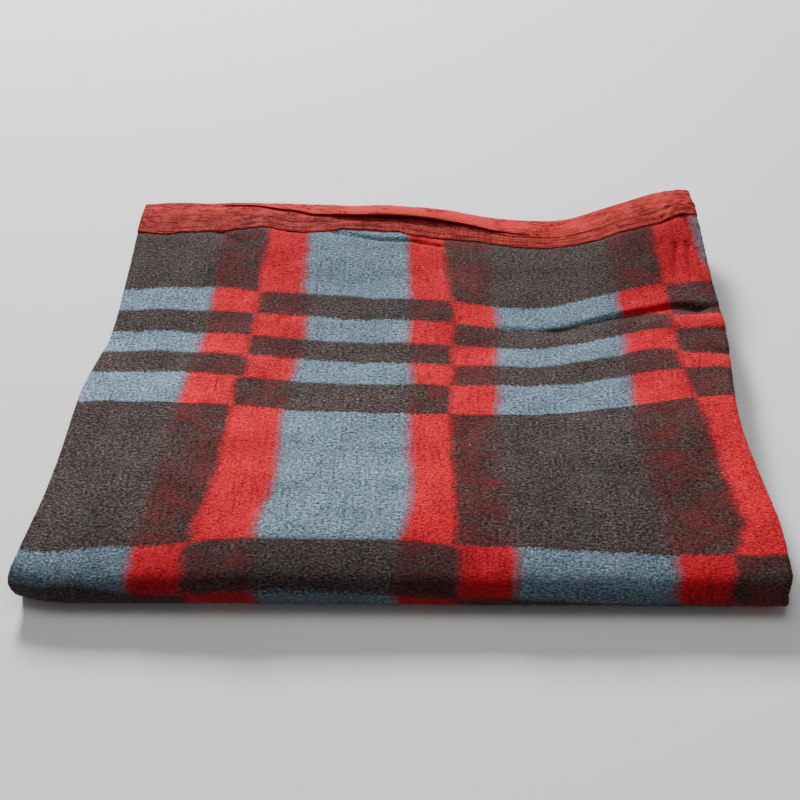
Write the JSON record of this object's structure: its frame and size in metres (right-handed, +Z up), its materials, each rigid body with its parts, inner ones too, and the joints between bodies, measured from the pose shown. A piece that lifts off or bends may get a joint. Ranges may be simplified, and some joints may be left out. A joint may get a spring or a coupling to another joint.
{
  "type": "folded blanket",
  "caption": "Thick brushed wool-blend blanket in a reversible check, bound with satin ribbon at both ends, folded in half across and in quarters along into a flat stack.",
  "frame": {"origin": "on the surface that the stack lies on, under the middle of its box", "axes": "+X to the right along the front roll, from the open selvedges to the side fold; +Y from the front roll to the bound back edge; +Z up"},
  "size_m": [0.766, 0.5926, 0.0701],
  "materials": {
    "cloth": "brushed, felted nap in a check of brown-black, red and slate blue",
    "ribbon": "satin ribbon, soft sheen"
  },
  "bodies": {
    "root": {"blanket_cloth": "cloth", "top_end_ribbon": "ribbon", "lower_end_ribbon": "ribbon"}
  },
  "joints": []
}
